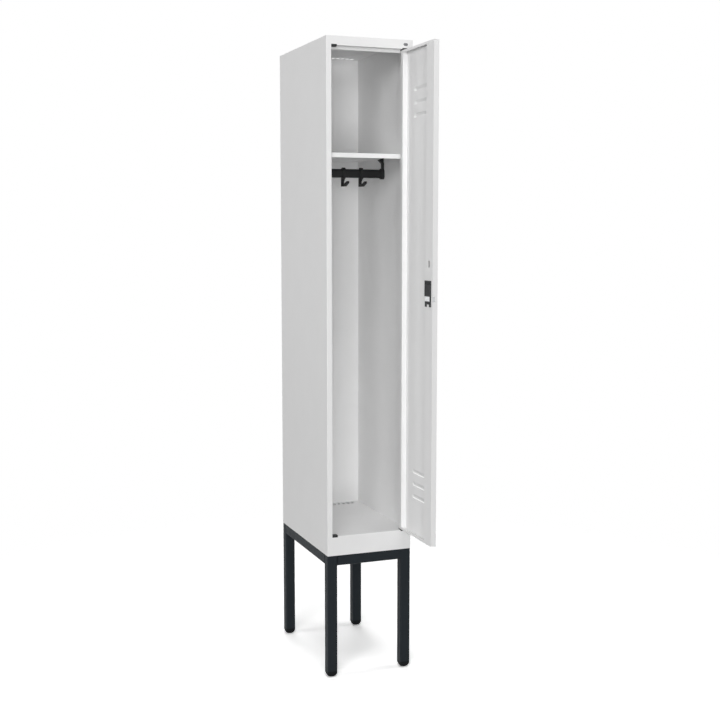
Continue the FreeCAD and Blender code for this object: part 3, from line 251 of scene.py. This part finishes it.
# Lock bolt: a stamped bar that the plug drives out of the door's edge.
# It is tumbled before plating, so it is paler and duller than the pins.
# The strike rubs its end down to smooth bare steel.

def rubbed_bolt():
    """Tumbled zinc plate: pale and dull along the bar, smooth grey steel at the rubbed end."""
    rubbed_share = 0.3
    rubbed_roughness = 0.25
    material = zinc_plate("tumbled_zinc_plated_steel", "#F2F3F4", "#E6E8EA", 0.6)
    shader = material.node_tree.nodes["Principled BSDF"]
    plated = shader.inputs["Base Color"].links[0].from_socket
    dull = shader.inputs["Roughness"].links[0].from_socket
    place = add(material, "ShaderNodeTexCoord", {}).outputs["Generated"]
    along = add(material, "ShaderNodeSeparateXYZ", {"Vector": place}).outputs["Y"]
    kept = add(material, "ShaderNodeMapRange", {"Value": along, "From Max": rubbed_share},
               interpolation_type="SMOOTHSTEP")
    colour = add(material, "ShaderNodeMixRGB",
                 {"Fac": kept.outputs["Result"], "Color1": linear("#C8CACC"), "Color2": plated})
    sheen = add(material, "ShaderNodeMapRange",
                {"Value": kept.outputs["Result"], "To Min": rubbed_roughness, "To Max": dull})
    material.node_tree.links.new(colour.outputs["Color"], shader.inputs["Base Color"])
    material.node_tree.links.new(sheen.outputs["Result"], shader.inputs["Roughness"])
    return material


dress(rubbed_bolt(), "lock_bolt")


# Lock housing with its pull cup, and the cover that closes it on the inside of the door.
# Both are moulded in polyamide filled with glass, so they are greyer and duller than the hooks.

anthracite_polyamide = moulded_plastic("anthracite_glass_filled_polyamide", "#303133", "#27282A",
                                       0.55, 0.3)
dress(anthracite_polyamide, "lock_housing", "lock_cover")


# Stand: four legs and four rails of 35 mm square steel tube, welded at the corners.
# It is powder coated in anthracite, in a finish that reflects less than the cabinet's.

anthracite_coat = powder_coat("anthracite_powder_coated_steel", "#21262A", "#1B2024", 0.6, 0.12)
dress(anthracite_coat, "leg_front_left", "leg_front_right", "leg_rear_left", "leg_rear_right",
      "stand_rail_front", "stand_rail_rear", "stand_rail_left", "stand_rail_right")


# Foot caps: plugs that close the legs' ends, square at the tube and round at the floor.
# They are moulded in black polyethylene, duller than the hooks, and knocked into the tubes.

black_polyethylene = moulded_plastic("black_moulded_polyethylene", "#111314", "#0C0E0F", 0.6, 0.1)
# Sizes in metres, and the pad's rounding as a share of its half width.
cap_height = 0.020
dome_height = 0.014
tube_corner = 0.005
pad_half = 0.0075
pad_rounding = 0.9
plug_inset = 0.0023
plug_corner = 0.001
dome_steps = 10
corner_steps = 6
crease_angle = 50


def rounded_square(middle, half, corner, height):
    """Points of a level square with rounded corners, anticlockwise."""
    points = []
    for quarter, (across, along) in enumerate(((1, 1), (-1, 1), (-1, -1), (1, -1))):
        for step in range(corner_steps + 1):
            angle = radians(90 * (quarter + step / corner_steps))
            points.append((middle.x + across * (half - corner) + corner * cos(angle),
                           middle.y + along * (half - corner) + corner * sin(angle), height))
    return points


def foot_cap(name, node):
    """Skin a cap over level outlines: dome, straight side, step in to the plug, and its top."""
    low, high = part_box(node)
    middle = (low + high) / 2
    half = (high.x - low.x) / 2
    outlines = []
    for step in range(dome_steps + 1):
        rise = step / dome_steps
        bulge = sqrt(1 - (1 - rise) ** 2)
        level_half = pad_half + (half - pad_half) * bulge
        corner = pad_rounding * level_half * (1 - rise) + tube_corner * rise
        outlines.append(rounded_square(middle, level_half, corner, low.z + dome_height * rise))
    outlines.append(rounded_square(middle, half, tube_corner, low.z + cap_height))
    for height in (low.z + cap_height, high.z):
        outlines.append(rounded_square(middle, half - plug_inset, plug_corner, height))
    around = len(outlines[0])
    faces = [tuple(reversed(range(around)))]
    for ring in range(len(outlines) - 1):
        for point in range(around):
            beside = (point + 1) % around
            faces.append((ring * around + point, ring * around + beside,
                          (ring + 1) * around + beside, (ring + 1) * around + point))
    faces.append(tuple(range((len(outlines) - 1) * around, len(outlines) * around)))
    mesh = bpy.data.meshes.new(name)
    mesh.from_pydata([point for outline in outlines for point in outline], [], faces)
    mesh.shade_smooth()
    mesh.set_sharp_from_angle(angle=radians(crease_angle))
    mesh.materials.append(black_polyethylene)
    cap = bpy.data.objects.new(name, mesh)
    bpy.context.collection.objects.link(cap)
    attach(cap, "cabinet")
    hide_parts(node)


for leg in ("front_left", "front_right", "rear_left", "rear_right"):
    foot_cap("foot_cap_" + leg, "foot_" + leg)


# Studio floor: a round of pale paper under the object, not part of it.
# The camera sees it lifted to white and thinning out to nothing.
# So only the object's soft shadow shows on it.

def paper_round():
    """Matt paper without gloss: white to the camera, plain pale to the light it throws back."""
    fibre_mm = 30.0
    full_radius = 0.7
    faded_radius = 2.2
    lifted = (1.75, 1.75, 1.75, 1.0)
    material, place = new_finish("white_paper_floor")
    material.node_tree.nodes.remove(material.node_tree.nodes["Principled BSDF"])
    fibre = add(material, "ShaderNodeTexNoise",
                {"Vector": place, "Scale": metre_mm / fibre_mm, "Detail": 2.0})
    paper = add(material, "ShaderNodeMixRGB",
                {"Fac": fibre.outputs["Fac"], "Color1": linear("#7A7A7A"),
                 "Color2": linear("#808080")})
    ray = add(material, "ShaderNodeLightPath", {})
    looked_at = add(material, "ShaderNodeMath",
                    {0: ray.outputs["Is Camera Ray"], 1: ray.outputs["Is Glossy Ray"]},
                    operation="MAXIMUM")
    shown = add(material, "ShaderNodeMixRGB",
                {"Fac": looked_at.outputs[0], "Color1": paper.outputs["Color"],
                 "Color2": lifted})
    matt = add(material, "ShaderNodeBsdfDiffuse", {"Color": shown.outputs["Color"]})
    reach = add(material, "ShaderNodeVectorMath", {0: place}, operation="LENGTH")
    fade = add(material, "ShaderNodeMapRange",
               {"Value": reach.outputs["Value"], "From Min": full_radius,
                "From Max": faded_radius}, interpolation_type="SMOOTHSTEP")
    clear = add(material, "ShaderNodeBsdfTransparent", {})
    sheet = add(material, "ShaderNodeMixShader",
                {0: fade.outputs["Result"], 1: matt.outputs["BSDF"], 2: clear.outputs["BSDF"]})
    surface = material.node_tree.nodes["Material Output"].inputs["Surface"]
    material.node_tree.links.new(sheet.outputs["Shader"], surface)
    return material


floor_half = 2.5
floor_mesh = bpy.data.meshes.new("studio_floor")
floor_mesh.from_pydata([(-floor_half, -floor_half, 0), (floor_half, -floor_half, 0),
                        (floor_half, floor_half, 0), (-floor_half, floor_half, 0)],
                       [], [(0, 1, 2, 3)])
floor_mesh.materials.append(paper_round())
floor = bpy.data.objects.new("studio_floor", floor_mesh)
bpy.context.collection.objects.link(floor)


# Studio light: large soft boxes around the object, most of the light from the front and left.
# Those in front stand far off, so that their light reaches the compartment's back wall.
# A white room fills in a little, and is plain white to the camera and in reflections.

room_fill = 0.02
room_white = 1.0
room = bpy.data.worlds.new("white_room")
room.use_nodes = True
bpy.context.scene.world = room
ray = add(room, "ShaderNodeLightPath", {})
looked_at = add(room, "ShaderNodeMath",
                {0: ray.outputs["Is Camera Ray"], 1: ray.outputs["Is Glossy Ray"]},
                operation="MAXIMUM")
shown = add(room, "ShaderNodeMath",
            {0: looked_at.outputs[0], 1: ray.outputs["Is Transmission Ray"]},
            operation="MAXIMUM")
level = add(room, "ShaderNodeMapRange",
            {"Value": shown.outputs[0], "To Min": room_fill, "To Max": room_white})
backdrop = room.node_tree.nodes["Background"]
backdrop.inputs["Color"].default_value = (1.0, 1.0, 1.0, 1.0)
room.node_tree.links.new(level.outputs["Result"], backdrop.inputs["Strength"])
locker_middle = Vector((0, 0, 1.2))


def soft_box(name, place, side, power):
    """Hang a square soft box of so many watts at a place, turned to the middle of the locker."""
    lamp = bpy.data.lights.new(name, "AREA")
    lamp.shape = "SQUARE"
    lamp.size = side
    lamp.energy = power
    box = bpy.data.objects.new(name, lamp)
    box.location = place
    box.rotation_euler = (locker_middle - Vector(place)).to_track_quat("-Z", "Y").to_euler()
    bpy.context.collection.objects.link(box)


soft_box("box_behind_camera", (-3.4, -8.9, 2.3), 3.0, 175.0)
soft_box("box_front_low", (-2.0, -7.0, 0.6), 2.4, 125.0)
soft_box("box_front_left", (-5.2, -6.8, 4.2), 3.0, 232.0)
soft_box("box_front_high", (-0.4, -2.0, 5.4), 2.0, 64.0)
soft_box("box_left", (-6.5, 0.6, 2.0), 3.0, 117.0)
soft_box("box_right", (4.5, -0.6, 1.8), 3.0, 80.0)
soft_box("box_back", (0.6, 5.0, 1.8), 3.0, 120.0)
soft_box("box_top", (0.4, 0.8, 5.4), 2.0, 32.0)


# Camera: at a standing eye's height in front and to the left, as the photograph was taken.
# Its place, turn and lens were fitted to the cabinet's corners, and its lens isn't shifted.

tilt_down = 6.268
turn_right = 21.003
camera_lens = bpy.data.cameras.new("photo_camera")
camera_lens.sensor_width = 36.0
camera_lens.lens = 59.276
camera = bpy.data.objects.new("photo_camera", camera_lens)
camera.location = (-1.4330, -3.7673, 1.5039)
camera.rotation_euler = (radians(90 - tilt_down), 0, radians(-turn_right))
bpy.context.collection.objects.link(camera)
bpy.context.scene.camera = camera
